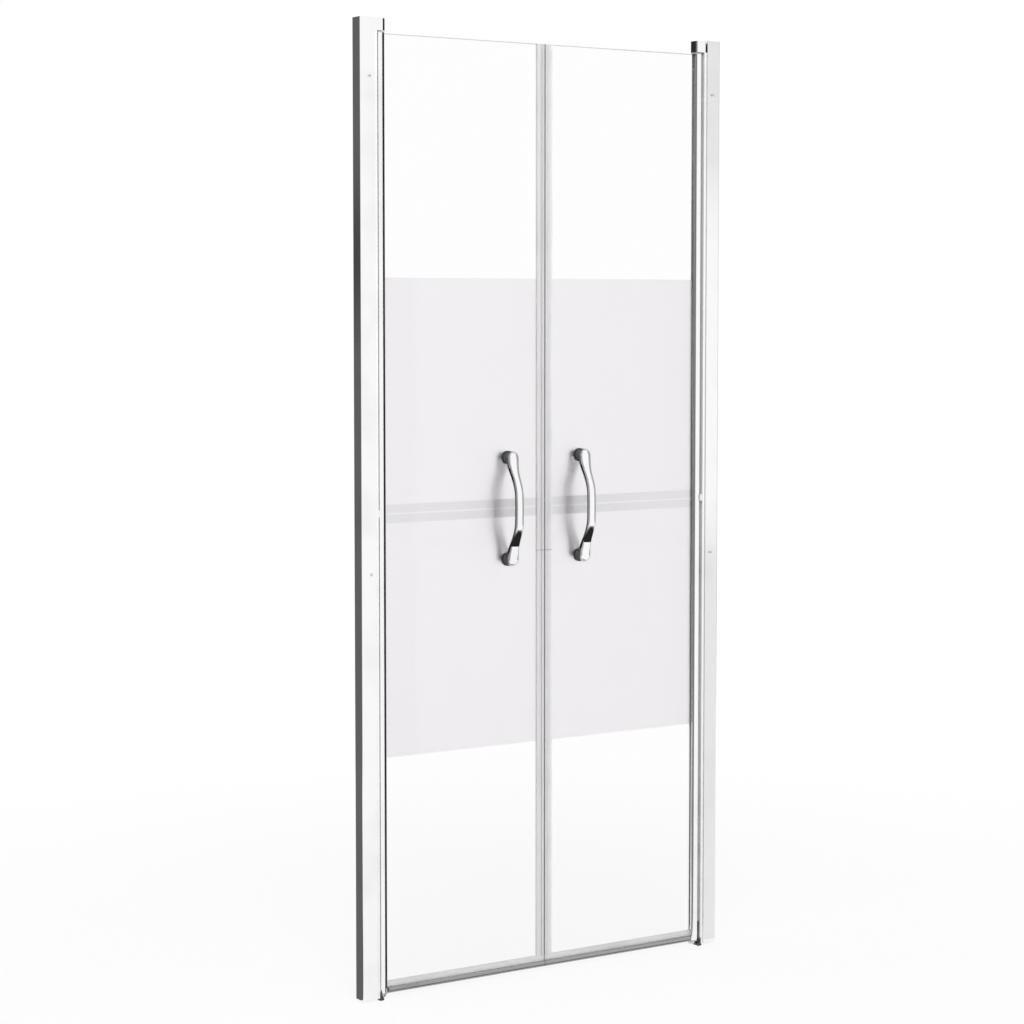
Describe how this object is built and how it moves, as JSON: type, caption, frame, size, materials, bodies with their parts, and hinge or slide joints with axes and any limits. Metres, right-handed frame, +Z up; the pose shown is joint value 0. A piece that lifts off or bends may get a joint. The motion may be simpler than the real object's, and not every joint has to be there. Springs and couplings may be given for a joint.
{
  "type": "shower door",
  "caption": "Frameless-look double-leaf pivot shower door for a niche: glass leaves between bright wall profiles, swinging in and out, with bow handles and a frosted field.",
  "frame": {"origin": "on the floor, at the middle of the doorway, in the plane of the glass", "axes": "+Z up, -Y towards the room at the front, X across the doorway from wall to wall"},
  "size_m": [0.86, 0.1052, 1.9],
  "materials": {
    "polished_aluminium": "bright polished, anodised",
    "screw_steel": "stainless, cross recess",
    "chromed_cap": "bright chromed casting",
    "bearing_steel": "ground stainless",
    "black_plastic": "fine matt moulding",
    "white_plastic": "acetal, satin",
    "grey_plastic": "acetal, satin",
    "glass": "clear toughened glass with a frosted field",
    "gasket_rubber": "translucent grey glazing strip",
    "clear_seal": "translucent flexible vinyl",
    "magnet": "magnetic rubber strip",
    "handle_chrome": "mirror chromed",
    "washer_rubber": "dark seal ring"
  },
  "bodies": {
    "root": {"wall_profile_left": "polished_aluminium", "adjusting_profile_left": "polished_aluminium", "clamp_screws_left": "screw_steel", "top_cap_left": "chromed_cap", "bottom_bearing_left": "bearing_steel", "bottom_foot_left": "black_plastic", "mid_bearing_left": "white_plastic", "top_pivot_pin_left": "bearing_steel", "bottom_pivot_pin_left": "bearing_steel", "wall_profile_right": "polished_aluminium", "adjusting_profile_right": "polished_aluminium", "clamp_screws_right": "screw_steel", "top_cap_right": "chromed_cap", "bottom_bearing_right": "bearing_steel", "bottom_foot_right": "black_plastic", "mid_bearing_right": "white_plastic", "top_pivot_pin_right": "bearing_steel", "bottom_pivot_pin_right": "bearing_steel"},
    "leaf_left": {"hinge_profile_left": "polished_aluminium", "top_bush_left": "grey_plastic", "bottom_bush_left": "grey_plastic", "glass_left": "glass", "glazing_gasket_left": "gasket_rubber", "centre_seal_lower_left": "clear_seal", "centre_seal_upper_left": "clear_seal", "magnet_strips_left": "magnet", "bottom_seal_left": "clear_seal", "drip_rail_left": "polished_aluminium", "handle_front_left": "handle_chrome", "handle_back_left": "handle_chrome", "handle_washers_left": "washer_rubber", "handle_studs_left": "bearing_steel"},
    "leaf_right": {"hinge_profile_right": "polished_aluminium", "top_bush_right": "grey_plastic", "bottom_bush_right": "grey_plastic", "glass_right": "glass", "glazing_gasket_right": "gasket_rubber", "centre_seal_lower_right": "clear_seal", "centre_seal_upper_right": "clear_seal", "magnet_strips_right": "magnet", "bottom_seal_right": "clear_seal", "drip_rail_right": "polished_aluminium", "handle_front_right": "handle_chrome", "handle_back_right": "handle_chrome", "handle_washers_right": "washer_rubber", "handle_studs_right": "bearing_steel"}
  },
  "joints": [
    {"name": "leaf_left_swing", "type": "hinge", "parent": "root", "child": "leaf_left", "pos_m": [-0.3795, 0, 0.95], "axis": [0, 0, 1], "range_deg": [-90, 90]},
    {"name": "leaf_right_swing", "type": "hinge", "parent": "root", "child": "leaf_right", "pos_m": [0.3795, 0, 0.95], "axis": [0, 0, 1], "range_deg": [-90, 90]}
  ]
}
